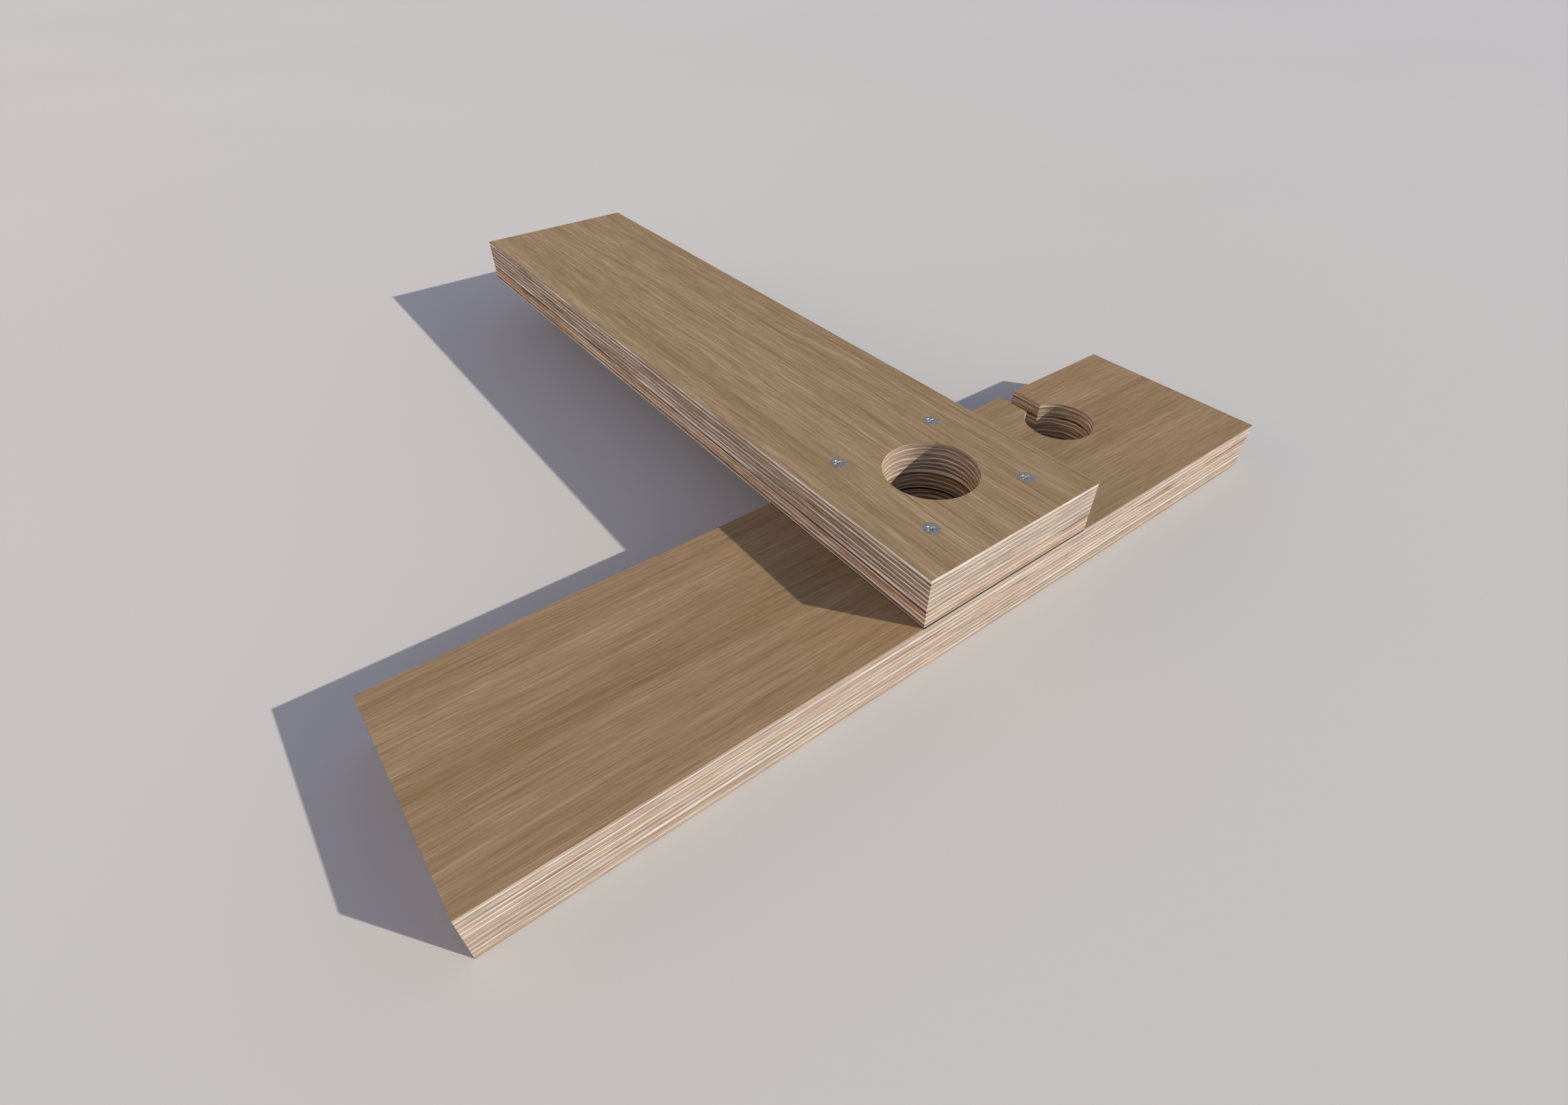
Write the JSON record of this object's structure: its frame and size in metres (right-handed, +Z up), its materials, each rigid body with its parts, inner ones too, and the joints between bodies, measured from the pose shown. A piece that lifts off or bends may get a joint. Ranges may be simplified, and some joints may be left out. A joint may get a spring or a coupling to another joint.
{
  "type": "rebate router jig",
  "caption": "T-shaped plywood jig that guides a hand router: a fence board screwed across a crosspiece with a keyhole slot for the cutter.",
  "frame": {"origin": "on the bench, on the axis of the hanging hole through both boards", "axes": "+X along the crosspiece towards the keyhole, +Y along the fence over the work, +Z up along the hanging hole"},
  "size_m": [0.3, 0.3, 0.036],
  "materials": {
    "plywood": "bare sanded oak-veneered plywood with its plies showing on every edge",
    "zinc_steel": "dull blue-grey zinc plate"
  },
  "bodies": {
    "root": {"crosspiece": "plywood", "fence": "plywood", "screw_near_left": "zinc_steel", "screw_near_right": "zinc_steel", "screw_far_left": "zinc_steel", "screw_far_right": "zinc_steel"}
  },
  "joints": []
}
